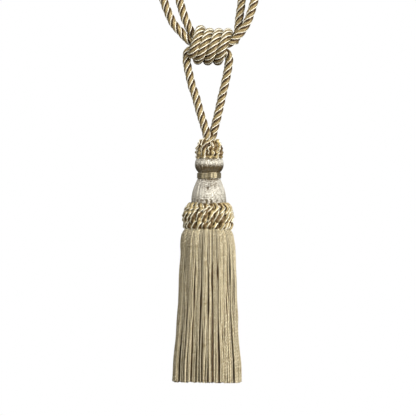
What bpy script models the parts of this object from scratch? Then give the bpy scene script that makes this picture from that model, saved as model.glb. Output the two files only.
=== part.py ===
"""A curtain tieback: a twisted rope embrace, a wound slide knot, and a tassel hanging below it.

Run it with blender --background --python part.py, or from Blender's text editor.

Units are metres and +Z is up. The origin is the point of the wall hook that the two loops of the
embrace bear on. The front faces -Y. Tables are in millimetres, measured from the knot's centre,
which hangs KNOT_DROP below the hook, unless their comment says otherwise.
"""

import math
import random

import bmesh
import bpy
from mathutils import Vector

MM = 0.001

# ---- driving sizes, millimetres ----
KNOT_DROP = 270.0
# Pieces that touch are left this far apart.
GAP = 0.3
ROPE_RADIUS = 4.5
# The rope is pulled a little thinner where it is wound into the knot.
KNOT_ROPE_RADIUS = 4.35
# A strand goes once round the rope in this length; the knot's rope is twisted tighter.
ROPE_LEAD = 24.0
KNOT_LEAD = 18.0
# The distance between the sections of a rope's solid.
ROPE_STEP = 3.0
KNOT_STEP = 2.4
ROPE_STRANDS = 3
# The groove between two strands lies at this share of the rope's radius.
VALLEY_RATIO = 0.70

# ---- materials: name, colour, roughness ----
FINISHES = {
    "rope": ((0.34, 0.28, 0.17), 0.42),
    "floss": ((0.52, 0.47, 0.34), 0.30),
    "thread": ((0.40, 0.35, 0.24), 0.40),
    "collar_cord": ((0.36, 0.30, 0.18), 0.42),
    "skirt_yarn": ((0.36, 0.31, 0.21), 0.55),
}

# ---- the embrace ----
# The front ropes lie at -CORE_OFFSET and the back ropes at +CORE_OFFSET where they cross the knot.
CORE_OFFSET = 4.7
CORE_HEIGHT = 1.0
HOOK_LAYER = 5.3
HOOK_BEND = 18.0
LEFT_PULL = math.radians(13.0)
RIGHT_PULL = math.radians(10.0)
ARC_POINTS = 7

# Columns: x, y, z. Each rope is listed from the knot up towards the hook.
LEFT_OUTER = [
    (-11.0, -4.7, 1.0),
    (-17.6, -4.8, 2.0),
    (-23.9, -5.0, 5.4),
    (-31.3, -5.0, 13.2),
    (-38.0, -4.9, 20.4),
    (-43.4, -4.9, 30.4),
    (-49.7, -5.0, 46.8),
    (-57.6, -5.1, 76.0),
    (-60.8, -5.2, 112.0),
    (-56.0, -5.3, 155.0),
    (-43.5, -5.3, 198.0),
    (-29.5, -5.3, 236.0),
]
LEFT_INNER = [
    (-10.0, 4.7, 1.0),
    (-15.3, 4.8, 4.4),
    (-19.4, 4.9, 11.0),
    (-24.0, 4.9, 20.5),
    (-28.1, 4.9, 30.2),
    (-33.1, 4.7, 46.8),
    (-38.6, 3.6, 72.0),
    (-39.6, 0.8, 104.0),
    (-32.2, -2.8, 140.0),
    (-18.6, -5.0, 176.0),
    (-2.8, -5.3, 212.0),
    (7.4, -5.3, 234.0),
]
RIGHT_INNER = [
    (10.0, 4.7, 1.0),
    (17.0, 4.9, 1.4),
    (24.4, 5.0, 5.2),
    (28.0, 5.2, 13.6),
    (29.2, 5.2, 26.0),
    (31.9, 5.2, 46.8),
    (34.4, 5.2, 72.0),
    (34.0, 5.2, 104.0),
    (27.4, 5.3, 140.0),
    (15.4, 5.3, 176.0),
    (1.6, 5.3, 212.0),
    (-8.6, 5.3, 234.0),
]
RIGHT_OUTER = [
    (11.0, -4.7, 1.0),
    (17.6, -4.8, 1.6),
    (24.2, -5.0, 5.6),
    (31.2, -5.0, 13.4),
    (36.6, -4.9, 21.8),
    (40.0, -4.8, 30.2),
    (44.9, -4.4, 46.8),
    (51.2, -2.6, 76.0),
    (53.4, 0.8, 112.0),
    (49.2, 3.9, 155.0),
    (38.8, 5.2, 198.0),
    (27.2, 5.3, 236.0),
]

# ---- the tassel's cord: from the crown up the left leg, through the knot, down the right leg ----
TASSEL_CORD = [
    (-2.3, -4.2, -102.7),
    (-2.4, -4.2, -98.5),
    (-3.4, -4.2, -92.0),
    (-6.4, -4.0, -82.0),
    (-10.4, -3.5, -69.7),
    (-15.2, -2.8, -53.0),
    (-18.6, -2.2, -44.0),
    (-22.0, -1.4, -30.5),
    (-24.3, -0.6, -19.8),
    (-24.7, -0.1, -11.6),
    (-23.2, 0.0, -6.6),
    (-19.2, 0.0, -5.0),
    (-10.0, 0.0, -6.9),
    (0.0, 0.0, -7.1),
    (7.0, 0.0, -6.9),
    (13.2, 0.1, -7.0),
    (17.6, 0.2, -9.0),
    (19.2, 0.5, -13.8),
    (18.8, 0.8, -20.5),
    (17.2, 1.4, -30.5),
    (14.5, 2.1, -44.0),
    (12.4, 2.7, -53.0),
    (8.9, 3.5, -69.7),
    (6.0, 4.0, -82.0),
    (3.6, 4.2, -92.0),
    (2.4, 4.2, -98.5),
    (2.3, 4.2, -102.7),
]

# ---- the slide knot ----
# A turn runs from the top, down the front, under, and up the back, stepping to -X as it goes.
KNOT_PITCH = 9.3
KNOT_FIRST_TOP = 14.3
KNOT_LEAN = 0.20
KNOT_DEPTH = 14.6
KNOT_MIDDLE = -1.6
KNOT_TOPS = [14.7, 14.7, 14.9, 17.0]
KNOT_BOTTOMS = [15.1, 14.9, 13.8, 13.0]
KNOT_TURN_POINTS = 12
KNOT_START_ANGLE = -32.0
KNOT_LAST_ANGLE = 122.0
# The tail comes out at the back of the right end; the last turn tucks in beside the left leg.
KNOT_TAIL = [
    (28.0, 13.8, 7.0),
    (25.0, 15.2, 5.4),
    (21.8, 14.7, 5.2),
    (18.7, 11.8, 7.6),
]
KNOT_TUCK = [
    (-19.7, -8.6, -11.2),
]

# ---- crown of looped cord: r, z, ridge depth, lean (in ridge pitches) ----
CROWN_LOBES = 11
CROWN_STEPS_PER_LOBE = 4
CROWN_FLOOR = -103.0
CROWN_PROFILE = [
    (9.6, -103.0, 0.0, 0.0),
    (9.6, -99.4, 0.0, 0.0),
    (11.1, -97.9, 0.5, 0.0),
    (12.8, -100.2, 1.5, -0.1),
    (14.1, -104.4, 2.0, -0.3),
    (14.3, -108.6, 1.9, -0.5),
    (14.2, -112.6, 1.9, -0.6),
    (13.4, -115.5, 1.4, -0.7),
    (12.0, -116.5, 0.3, -0.7),
]

# ---- floss head: r, z ----
HEAD_SEGMENTS = 30
HEAD_TOP = -116.8
HEAD_BOTTOM = -190.5
HEAD_PROFILE = [
    (12.0, HEAD_TOP),
    (13.4, -118.2),
    (14.5, -121.4),
    (14.8, -124.4),
    (14.4, -127.4),
    (13.2, -130.0),
    (11.9, -131.7),
    (11.1, -132.2),
    (11.1, -139.2),
    (12.0, -139.6),
    (12.8, -141.6),
    (13.9, -144.6),
    (15.7, -148.6),
    (17.0, -152.9),
    (17.6, -158.0),
    (17.9, -163.0),
    (17.9, HEAD_BOTTOM),
]

# ---- thread whipping round the waist: r, z ----
WHIPPING_SEGMENTS = 36
WHIPPING_PROFILE = [
    (11.4, -132.6),
    (12.2, -132.6),
    (12.5, -134.0),
    (12.5, -137.4),
    (12.2, -138.8),
    (11.4, -138.8),
]

# ---- collar of looped cord: crest r, z, ridge depth, lean (in ridge pitches) ----
COLLAR_RIDGES = 25
COLLAR_STEPS_PER_RIDGE = 3
COLLAR_PROFILE = [
    (18.3, -164.6, 0.0, 0.9),
    (20.4, -163.6, 0.8, 0.9),
    (23.2, -166.2, 1.5, 0.9),
    (24.7, -169.4, 1.2, 0.9),
    (24.5, -171.2, 0.3, 0.9),
    (26.1, -173.4, 1.9, 0.75),
    (26.6, -177.6, 2.1, 0.45),
    (26.2, -181.8, 1.9, 0.15),
    (24.6, -184.4, 0.3, 0.0),
    (25.4, -186.6, 1.7, 0.0),
    (24.4, -189.4, 1.6, 0.0),
    (22.4, -190.7, 0.4, 0.0),
    (18.3, -190.7, 0.0, 0.1),
    (18.3, -178.0, 0.0, 0.5),
]

# ---- bullion skirt ----
HEM = -351.0
HEADING_RADIUS = 24.4
HEADING_TOP = -191.0
HEADING_BOTTOM = -193.6
HEADING_SEGMENTS = 48
STRAND_ROOT = -192.3
# The skirt's outline: z, r.
SKIRT_OUTLINE = [
    (STRAND_ROOT, 22.7),
    (-196.8, 26.3),
    (-208.0, 28.7),
    (-228.0, 30.1),
    (-271.0, 32.2),
    (-304.0, 34.3),
    (-329.0, 36.8),
    (HEM, 37.4),
]
# Rings of strands from the outside in: count, share of the outline's radius, heights.
SKIRT_RINGS = [
    (60, 1.00, (STRAND_ROOT, -196.8, -208.0, -250.0, -312.0, HEM)),
    (50, 0.88, (STRAND_ROOT, -197.5, -262.0, HEM)),
    (36, 0.74, (STRAND_ROOT, -262.0, HEM)),
    (20, 0.52, (STRAND_ROOT, -262.0, HEM)),
    (8, 0.26, (STRAND_ROOT, -262.0, HEM)),
]
STRAND_ROOT_WIDTH = 1.9
STRAND_HEM_WIDTH = 2.8
LOCKS = 13
LOCK_PULL = 0.011
STRAND_INSET = 0.5
SKIRT_SEED = 11


def clear_scene():
    """Remove whatever the file holds."""
    for old in list(bpy.data.objects):
        bpy.data.objects.remove(old, do_unlink=True)


def finish(name):
    """A Principled material from the FINISHES table."""
    colour, roughness = FINISHES[name]
    material = bpy.data.materials.get(name) or bpy.data.materials.new(name)
    material.use_nodes = True
    shader = material.node_tree.nodes["Principled BSDF"]
    shader.inputs["Base Color"].default_value = (*colour, 1.0)
    shader.inputs["Roughness"].default_value = roughness
    shader.inputs["Metallic"].default_value = 0.0
    material.diffuse_color = (*colour, 1.0)
    return material


def place(x, y, z):
    """A point of the tables (millimetres from the knot) in metres from the hook."""
    return Vector((x * MM, y * MM, (z - KNOT_DROP) * MM))


def add_solid(name, points, faces, material_name, sharp_angle=60.0):
    """Make one closed mesh object with its faces pointing out."""
    mesh = bpy.data.meshes.new(name)
    mesh.from_pydata([tuple(point) for point in points], [], faces)
    work = bmesh.new()
    work.from_mesh(mesh)
    bmesh.ops.recalc_face_normals(work, faces=work.faces)
    work.to_mesh(mesh)
    work.free()
    mesh.materials.append(finish(material_name))
    mesh.shade_smooth()
    mesh.set_sharp_from_angle(angle=math.radians(sharp_angle))
    solid = bpy.data.objects.new(name, mesh)
    bpy.context.scene.collection.objects.link(solid)
    return solid


# ---- routes ----


def curve_through(points, per_span=12):
    """A Catmull-Rom curve through every point of the list."""
    padded = [2 * points[0] - points[1], *points, 2 * points[-1] - points[-2]]
    curve = []
    for index in range(1, len(padded) - 2):
        before, start, end, after = padded[index - 1:index + 3]
        for step in range(per_span):
            t = step / per_span
            curve.append(
                0.5 * (
                    2 * start
                    + (end - before) * t
                    + (2 * before - 5 * start + 4 * end - after) * t ** 2
                    + (3 * start - before - 3 * end + after) * t ** 3
                )
            )
    curve.append(points[-1].copy())
    return curve


def even_steps(curve, step):
    """The same curve with points spaced evenly along it, about one step apart."""
    reach = [0.0]
    for previous, point in zip(curve, curve[1:]):
        reach.append(reach[-1] + (point - previous).length)
    count = max(2, round(reach[-1] / step))
    spaced = []
    span = 0
    for index in range(count + 1):
        target = reach[-1] * index / count
        while span < len(curve) - 2 and reach[span + 1] < target:
            span += 1
        share = (target - reach[span]) / (reach[span + 1] - reach[span])
        spaced.append(curve[span].lerp(curve[span + 1], share))
    return spaced


def moving_frames(points):
    """The tangent and two normals at each point, turned no more than the curve itself turns."""
    tangents = []
    for index in range(len(points)):
        ahead = points[min(index + 1, len(points) - 1)]
        behind = points[max(index - 1, 0)]
        tangents.append((ahead - behind).normalized())
    side = tangents[0].orthogonal().normalized()
    frames = []
    previous = tangents[0]
    for tangent in tangents:
        side = previous.rotation_difference(tangent) @ side
        side = (side - tangent * side.dot(tangent)).normalized()
        frames.append((tangent, side, tangent.cross(side)))
        previous = tangent
    return frames


def twisted_rope(name, route, step, lead, thickness=ROPE_RADIUS):
    """A solid rope of twisted strands: a star section whose ridges wind round the route."""
    points = even_steps(curve_through(route), step * MM)
    frames = moving_frames(points)
    corners = 2 * ROPE_STRANDS
    rings = []
    travelled = 0.0
    for index, (point, (_, side, over)) in enumerate(zip(points, frames)):
        if index:
            travelled += (point - points[index - 1]).length
        twist = 2 * math.pi * travelled / (lead * MM)
        for corner in range(corners):
            angle = twist + 2 * math.pi * corner / corners
            radius = thickness * MM * (1.0 if corner % 2 == 0 else VALLEY_RATIO)
            rings.append(point + radius * (math.cos(angle) * side + math.sin(angle) * over))
    faces = []
    for ring in range(len(points) - 1):
        for corner in range(corners):
            a = ring * corners + corner
            b = ring * corners + (corner + 1) % corners
            # The short diagonal joins the next corner to the ring above, which has twisted past it.
            faces.append((a, b, a + corners))
            faces.append((b, b + corners, a + corners))
    faces.append(tuple(range(corners))[::-1])
    faces.append(tuple(range(len(rings) - corners, len(rings))))
    return add_solid(name, rings, faces, "rope", sharp_angle=80.0)


def hook_arc(pull, layer, side):
    """Points of a loop's bend over the hook, from its outer rope to its inner rope.

    side is -1 for the left loop and +1 for the right one. pull is the angle at which the loop
    hangs away from straight down.
    """
    away = Vector((-side * math.sin(pull), 0.0, math.cos(pull)))
    across = Vector((side * math.cos(pull), 0.0, math.sin(pull)))
    centre = (ROPE_RADIUS - HOOK_BEND) * away + Vector((0.0, layer, KNOT_DROP))
    arc = []
    for index in range(ARC_POINTS):
        angle = math.pi * index / (ARC_POINTS - 1)
        point = centre + HOOK_BEND * (math.cos(angle) * across + math.sin(angle) * away)
        arc.append(tuple(point))
    return arc


def embrace_route():
    """One rope: left outer, hook, left inner, through the knot, right inner, hook, right outer."""
    left = LEFT_OUTER + hook_arc(LEFT_PULL, -HOOK_LAYER, -1) + LEFT_INNER[::-1]
    right = RIGHT_INNER + hook_arc(RIGHT_PULL, HOOK_LAYER, 1)[::-1] + RIGHT_OUTER[::-1]
    first = [(-GAP / 2, -CORE_OFFSET, CORE_HEIGHT)]
    middle = [(0.0, CORE_OFFSET, CORE_HEIGHT)]
    last = [(GAP / 2, -CORE_OFFSET, CORE_HEIGHT)]
    return [place(*point) for point in first + left + middle + right + last]


def knot_route():
    """The tail, the turns round the other ropes, and the tuck at the left end."""
    route = [place(*point) for point in KNOT_TAIL]
    last = (len(KNOT_TOPS) - 1) * 360.0 + KNOT_LAST_ANGLE
    step = 360.0 / KNOT_TURN_POINTS
    angle = KNOT_START_ANGLE
    while angle <= last:
        turn = angle / 360.0
        top = KNOT_TOPS[max(0, min(len(KNOT_TOPS) - 1, round(turn)))]
        bottom = KNOT_BOTTOMS[max(0, min(len(KNOT_BOTTOMS) - 1, int(turn)))]
        upward = math.cos(math.radians(angle))
        height = upward * (top if upward > 0 else bottom)
        along = KNOT_FIRST_TOP - KNOT_PITCH * turn + KNOT_LEAN * height
        depth = -KNOT_DEPTH * math.sin(math.radians(angle))
        route.append(place(along, depth, KNOT_MIDDLE + height))
        angle += step
    return route + [place(*point) for point in KNOT_TUCK]


# ---- turned pieces ----


def crest_share(phase):
    """How much of a ridge's height is left at this phase: 1 on the crest and 0 in the valley."""
    return abs(math.cos(math.pi * phase))


def turned(name, profile, material_name, segments, ridges=0, floor=None, base=None):
    """Turn a profile about the tassel's axis.

    A row of the profile is r, z and, where there are ridges, ridge depth and lean. floor and base
    close the ends on the axis; with neither, the profile closes on itself as a ring.
    """
    points = []
    for row in profile:
        radius, height, depth, lean = (*row, 0.0, 0.0)[:4]
        for segment in range(segments):
            phase = ridges * segment / segments
            turn = 2 * math.pi * segment / segments
            if ridges:
                turn += 2 * math.pi * lean / ridges
            reach = radius - depth * (1.0 - crest_share(phase))
            points.append(place(reach * math.cos(turn), reach * math.sin(turn), height))
    faces = []
    bands = len(profile) - 1 if floor is not None else len(profile)
    for band in range(bands):
        upper = band * segments
        lower = (band + 1) % len(profile) * segments
        for segment in range(segments):
            beside = (segment + 1) % segments
            faces.append((upper + segment, lower + segment, lower + beside, upper + beside))
    if floor is not None:
        for row, height in ((0, floor), (len(profile) - 1, base)):
            centre = len(points)
            points.append(place(0.0, 0.0, height))
            for segment in range(segments):
                beside = (segment + 1) % segments
                edge = row * segments
                faces.append((centre, edge + segment, edge + beside))
    return add_solid(name, points, faces, material_name)


# ---- skirt ----


def skirt_radius(height):
    """The outline's radius at a height, read straight between the rows of SKIRT_OUTLINE."""
    for (upper, wide), (lower, wider) in zip(SKIRT_OUTLINE, SKIRT_OUTLINE[1:]):
        if height >= lower:
            return wide + (wider - wide) * (upper - height) / (upper - lower)
    return SKIRT_OUTLINE[-1][1]


def strand(turn, share, heights, inset):
    """Points and faces of one three-sided strand with a corner facing out."""
    points = []
    for height in heights:
        fall = (STRAND_ROOT - height) / (STRAND_ROOT - HEM)
        corner = (STRAND_ROOT_WIDTH + (STRAND_HEM_WIDTH - STRAND_ROOT_WIDTH) * fall) / math.sqrt(3)
        middle = share * skirt_radius(height) - corner - inset * min(1.0, 4 * fall)
        drift = turn + LOCK_PULL * math.sin(LOCKS * turn) * fall ** 2
        out = Vector((math.cos(drift), math.sin(drift), 0.0))
        across = Vector((-math.sin(drift), math.cos(drift), 0.0))
        centre = middle * out + Vector((0.0, 0.0, height))
        for side in range(3):
            angle = 2 * math.pi * side / 3
            point = centre + corner * (math.cos(angle) * out + math.sin(angle) * across)
            points.append(place(*point))
    faces = [(0, 2, 1)]
    for row in range(len(heights) - 1):
        for side in range(3):
            a = 3 * row + side
            b = 3 * row + (side + 1) % 3
            faces.append((a, b, b + 3, a + 3))
    end = 3 * (len(heights) - 1)
    faces.append((end, end + 1, end + 2))
    return points, faces


def skirt_strands():
    """All the strands as one object of separate closed shells."""
    chance = random.Random(SKIRT_SEED)
    points = []
    faces = []
    for ring, (count, share, heights) in enumerate(SKIRT_RINGS):
        for index in range(count):
            turn = 2 * math.pi * (index + 0.5 * (ring % 2)) / count
            inset = chance.uniform(0.0, STRAND_INSET)
            new_points, new_faces = strand(turn, share, heights, inset)
            faces += [tuple(len(points) + corner for corner in face) for face in new_faces]
            points += new_points
    return add_solid("strand_cutter", points, faces, "skirt_yarn")


def skirt():
    """The heading with every strand's root fused into it."""
    points = []
    for height in (HEADING_TOP, HEADING_BOTTOM):
        for segment in range(HEADING_SEGMENTS):
            turn = 2 * math.pi * (segment + 0.5) / HEADING_SEGMENTS
            x = HEADING_RADIUS * math.cos(turn)
            y = HEADING_RADIUS * math.sin(turn)
            points.append(place(x, y, height))
    faces = [tuple(range(HEADING_SEGMENTS)), tuple(range(HEADING_SEGMENTS, 2 * HEADING_SEGMENTS))]
    for segment in range(HEADING_SEGMENTS):
        beside = (segment + 1) % HEADING_SEGMENTS
        below = HEADING_SEGMENTS
        faces.append((segment, beside, below + beside, below + segment))
    heading = add_solid("skirt", points, faces, "skirt_yarn", sharp_angle=30.0)
    strands = skirt_strands()
    strands.hide_render = True
    strands.display_type = "WIRE"
    union = heading.modifiers.new("roots", "BOOLEAN")
    union.operation = "UNION"
    union.solver = "EXACT"
    union.object = strands
    return heading


def build():
    """Every piece, from the hook down to the hem."""
    clear_scene()
    tassel = [place(*point) for point in TASSEL_CORD]
    twisted_rope("embrace_cord", embrace_route(), ROPE_STEP, ROPE_LEAD)
    twisted_rope("tassel_cord", tassel, ROPE_STEP, ROPE_LEAD)
    twisted_rope("slide_knot", knot_route(), KNOT_STEP, KNOT_LEAD, KNOT_ROPE_RADIUS)
    turned(
        "crown_ruff",
        CROWN_PROFILE,
        "collar_cord",
        CROWN_LOBES * CROWN_STEPS_PER_LOBE,
        ridges=CROWN_LOBES,
        floor=CROWN_FLOOR,
        base=CROWN_PROFILE[-1][1],
    )
    turned("head_floss", HEAD_PROFILE, "floss", HEAD_SEGMENTS, floor=HEAD_TOP, base=HEAD_BOTTOM)
    turned("neck_whipping", WHIPPING_PROFILE, "thread", WHIPPING_SEGMENTS)
    turned(
        "collar_ruff",
        COLLAR_PROFILE,
        "collar_cord",
        COLLAR_RIDGES * COLLAR_STEPS_PER_RIDGE,
        ridges=COLLAR_RIDGES,
    )
    skirt()


build()
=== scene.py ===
"""The looks of a curtain tieback: twisted satin rope, a wound knot, and a bullion tassel.

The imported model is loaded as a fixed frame, in metres with +Z up and the front facing -Y. Tables are
in millimetres from the knot's centre, which hangs KNOT_DROP below the hook at the origin, unless
their comment says otherwise. An azimuth is in degrees round the tassel's axis, 0 at the front and
growing towards +X.
"""

import random
from math import asin, copysign, cos, exp, pi, radians, sin, sqrt, tan, tau

import bpy
from mathutils import Euler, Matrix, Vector


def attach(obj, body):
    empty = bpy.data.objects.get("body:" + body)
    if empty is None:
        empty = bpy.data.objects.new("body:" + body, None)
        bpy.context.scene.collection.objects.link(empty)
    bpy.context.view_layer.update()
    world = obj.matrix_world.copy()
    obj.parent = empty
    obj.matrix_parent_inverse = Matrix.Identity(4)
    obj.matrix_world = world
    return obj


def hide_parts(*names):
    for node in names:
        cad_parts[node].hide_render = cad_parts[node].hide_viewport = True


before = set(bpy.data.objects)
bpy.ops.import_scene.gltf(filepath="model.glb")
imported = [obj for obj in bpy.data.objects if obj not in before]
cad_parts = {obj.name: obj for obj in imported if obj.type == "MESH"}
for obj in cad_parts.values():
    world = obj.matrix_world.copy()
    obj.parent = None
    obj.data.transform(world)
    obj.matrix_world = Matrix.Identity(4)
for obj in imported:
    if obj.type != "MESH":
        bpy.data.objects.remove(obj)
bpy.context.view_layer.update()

scene = bpy.context.scene
MM = 0.001

# ---- routes of the ropes, millimetres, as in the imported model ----
KNOT_DROP = 270.0
# Two ends that meet inside the knot stay this far apart.
GAP = 0.3
ROPE_RADIUS = 4.5
# Where the embrace passes through the knot: how far before and behind its middle, and how far above.
CORE_OFFSET = 4.7
CORE_HEIGHT = 1.0
# The loops bend over the hook, one before the other, at this radius, and each leans to its own side.
HOOK_LAYER = 5.3
HOOK_BEND = 18.0
LEFT_PULL = radians(13.0)
RIGHT_PULL = radians(10.0)
ARC_POINTS = 7

# Columns: x, y, z. Each rope is listed from the knot up towards the hook.
LEFT_OUTER = [
    (-11.0, -4.7, 1.0), (-17.6, -4.8, 2.0), (-23.9, -5.0, 5.4),
    (-31.3, -5.0, 13.2), (-38.0, -4.9, 20.4), (-43.4, -4.9, 30.4),
    (-49.7, -5.0, 46.8), (-57.6, -5.1, 76.0), (-60.8, -5.2, 112.0),
    (-56.0, -5.3, 155.0), (-43.5, -5.3, 198.0), (-29.5, -5.3, 236.0),
]
LEFT_INNER = [
    (-10.0, 4.7, 1.0), (-15.3, 4.8, 4.4), (-19.4, 4.9, 11.0),
    (-24.0, 4.9, 20.5), (-28.1, 4.9, 30.2), (-33.1, 4.7, 46.8),
    (-38.6, 3.6, 72.0), (-39.6, 0.8, 104.0), (-32.2, -2.8, 140.0),
    (-18.6, -5.0, 176.0), (-2.8, -5.3, 212.0), (7.4, -5.3, 234.0),
]
RIGHT_INNER = [
    (10.0, 4.7, 1.0), (17.0, 4.9, 1.4), (24.4, 5.0, 5.2),
    (28.0, 5.2, 13.6), (29.2, 5.2, 26.0), (31.9, 5.2, 46.8),
    (34.4, 5.2, 72.0), (34.0, 5.2, 104.0), (27.4, 5.3, 140.0),
    (15.4, 5.3, 176.0), (1.6, 5.3, 212.0), (-8.6, 5.3, 234.0),
]
RIGHT_OUTER = [
    (11.0, -4.7, 1.0), (17.6, -4.8, 1.6), (24.2, -5.0, 5.6),
    (31.2, -5.0, 13.4), (36.6, -4.9, 21.8), (40.0, -4.8, 30.2),
    (44.9, -4.4, 46.8), (51.2, -2.6, 76.0), (53.4, 0.8, 112.0),
    (49.2, 3.9, 155.0), (38.8, 5.2, 198.0), (27.2, 5.3, 236.0),
]

# From the crown up the left leg, through the knot, and down the right leg.
TASSEL_CORD = [
    (-2.3, -4.2, -102.7), (-2.4, -4.2, -98.5), (-3.4, -4.2, -92.0),
    (-6.4, -4.0, -82.0), (-10.4, -3.5, -69.7), (-15.2, -2.8, -53.0),
    (-18.6, -2.2, -44.0), (-22.0, -1.4, -30.5), (-24.3, -0.6, -19.8),
    (-24.7, -0.1, -11.6), (-23.2, 0.0, -6.6), (-19.2, 0.0, -5.0),
    (-10.0, 0.0, -6.9), (0.0, 0.0, -7.1), (7.0, 0.0, -6.9),
    (13.2, 0.1, -7.0), (17.6, 0.2, -9.0), (19.2, 0.5, -13.8),
    (18.8, 0.8, -20.5), (17.2, 1.4, -30.5), (14.5, 2.1, -44.0),
    (12.4, 2.7, -53.0), (8.9, 3.5, -69.7), (6.0, 4.0, -82.0),
    (3.6, 4.2, -92.0), (2.4, 4.2, -98.5), (2.3, 4.2, -102.7),
]

# ---- the knot's rope: millimetres and degrees ----
# A turn of the knot runs from the top, down the front, under, and up the back, stepping to -X.
# Each row is half a turn: how far along the knot it is, and how far above or below its middle.
KNOT_HALF_TURNS = [
    (15.2, 14.5), (10.5, 14.7), (5.5, 14.5), (0.2, 14.7),
    (-4.2, 14.7), (-10.3, 14.0), (-13.9, 17.5), (-18.2, 13.0),
]
# The turns lean: each point moves to +X by this share of its height over the knot's middle.
KNOT_LEAN = 0.20
KNOT_DEPTH = 14.6
KNOT_MIDDLE = -1.6
KNOT_TURN_POINTS = 12
# The winding starts this far before the first top, and ends this far into the last half turn.
KNOT_START_ANGLE = -32.0
KNOT_LAST_ANGLE = 122.0
# x, y, z from the tip of the tail to the first turn, and where the last turn is tucked in.
KNOT_TAIL = [
    (28.6, 13.6, 4.0), (25.6, 14.5, 4.3), (22.2, 14.2, 5.0), (18.7, 11.8, 7.2),
]
KNOT_TUCK = [(-19.7, -8.6, -11.2)]
# The tail thickens over this length, from this share of the rope's thickness at its tip.
KNOT_TAIL_TAPER = 8.0
KNOT_TIP = 0.45
# This rope is drawn thicker than its solid, so that its turns close up.
KNOT_ROPE_RADIUS = 5.2
# Painted shade: the knot's rope is coloured darker than the other ropes of the same satin.
KNOT_SHADE = 0.12

# ---- how ropes and cords are laid: millimetres ----
# The plies make one full turn over a lead.
ROPE_LEAD = 26.0
# Lead, the flank of the highlight yarn, and the share by which the cord swells every few millimetres.
CROWN_LAY = (60.0, 1.0, 0.28)
COLLAR_LAY = (40.0, -1.0, 0.13)
SWELL_PERIOD = 4.6
# Distance between the rings of corners along a rope or cord.
EMBRACE_RING_STEP = 1.2
ROPE_RING_STEP = 0.9
CORD_RING_STEP = 0.55
# Threads that go round in circles have this many rings of corners a turn.
CIRCLE_POINTS = 72
# Satin fibres lie over a ply at this angle to it, degrees.
FIBRE_LAY = 15.0
# Painted groove shade starts this share of the way from a ply's crest to its groove, and is full here.
GROOVE_START = 0.5
GROOVE_FULL = 0.9
# How much sooner the painted groove shade starts on the flank without a highlight yarn.
SHELTERED_FLANK = 0.8
# Corners round each thin highlight yarn, whose near-white colour is a painted highlight.
HIGHLIGHT_YARN_CORNERS = 6
# Halfway from one flank to the other a highlight yarn lies this share nearer to the ply's centre.
HIGHLIGHT_YARN_DIVE = 0.35
# Where a rope climbs or falls this steeply, its highlight yarns have moved fully to the lower flank.
STEEP = 0.3

# ---- crown of looped cord: r, z of a cord's middle, from the outside bottom over the top ----
CROWN_LOOPS = 11
CROWN_FIRST_AZIMUTH = 2.0
# Every second loop lies this far inside its neighbours. Then their thickness and its own, over CORD's.
CROWN_INSET = 3.0
CROWN_SCALE = 1.2
CROWN_INSET_SCALE = 1.1
# Each loop strays by chance: azimuth and lean in pitches, height, depth, and its plies' turn.
CROWN_STRAY = 0.1
CROWN_TILTS = (-0.2, 0.4)
CROWN_RISES = (-1.6, 0.9)
CROWN_DEPTHS = (-0.6, 0.3)
CROWN_TURNS = 0.6
# The cords wave from side to side by this many degrees.
CROWN_WAVE = 4.0
# A thin ring of thread lies at the foot of the loops.
CROWN_RING_RADIUS = 12.4
CROWN_RING_Z = -116.1

CROWN_LOOP = [
    (10.6, -117.4), (11.4, -114.0), (11.6, -109.4), (11.0, -105.0),
    (9.6, -101.8), (7.9, -100.4), (6.4, -102.4),
]
# The left leg's strand lies over the front of the crown: x, y, z.
CROWN_SWEEP = [
    (1.2, -6.2, -91.5), (2.1, -8.6, -95.6), (0.2, -11.2, -99.6),
    (-3.6, -12.6, -103.8), (-5.9, -12.4, -107.8), (-6.2, -12.0, -112.6),
    (-5.7, -10.4, -117.2),
]
CROWN_CORE = [
    (0.0, -103.5), (5.6, -103.5), (7.6, -103.8), (9.0, -106.0),
    (9.8, -110.0), (9.8, -114.0), (9.4, -117.0), (0.0, -117.0),
]

# ---- floss head: r, z ----
HEAD_PROFILE = [
    (10.4, -115.8), (12.0, -116.6), (13.5, -118.8), (14.5, -121.6), (14.8, -124.4),
    (14.4, -127.4), (13.2, -130.0), (11.9, -131.7), (11.2, -132.6), (11.1, -135.8),
    (11.3, -139.0), (12.1, -140.0), (13.0, -142.0), (14.3, -145.2), (15.8, -149.0),
    (16.9, -152.9), (17.6, -157.0), (18.0, -161.0), (18.3, -165.0), (18.1, -167.0),
    (17.0, -169.0),
]
HEAD_SEGMENTS = 260
HEAD_ROW_STEP = 0.9
# Ripples round the head: the fewest and the most waves in a turn, and how many waves are summed.
BUNDLES = (14, 30, 5)
FIBRES = (60, 110, 6)
TONGUES = (16, 34, 5)
# How high bundles and fibres stand, and how far they drift sideways, in radians, per mm below the top.
BUNDLE_RELIEF = 0.16
FIBRE_RELIEF = 0.10
FIBRE_DRIFT = 0.05
HEAD_TOP = -116.0
# Near the collar the floss tucks in from this height, over this fall, and by up to this depth.
TUCK_START = -160.5
TUCK_FALL = 4.0
TUCK_DEPTH = 0.8
# A short nick in the front of the bell: azimuth, half its width in degrees, z, half its height, depth.
NICK_AZIMUTH = -4.5
NICK_WIDTH = 2.4
NICK_Z = -146.8
NICK_HEIGHT = 2.4
NICK_DEPTH = 2.0

# ---- thread wound round the waist: millimetres ----
WHIPPING_TOP = -133.0
WHIPPING_BOTTOM = -138.6
WHIPPING_RADIUS = 11.9
WHIPPING_TURNS = 8
WHIPPING_LUMPS = (9, 13, 2)
WHIPPING_RELIEF = 0.4

# ---- collar: r, z of a cord's middle, and how far it leans, in loop pitches ----
COLLAR_LOOPS = 24
# The collar sits this far to the left of the tassel's axis.
COLLAR_SHIFT = 0.7
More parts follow.
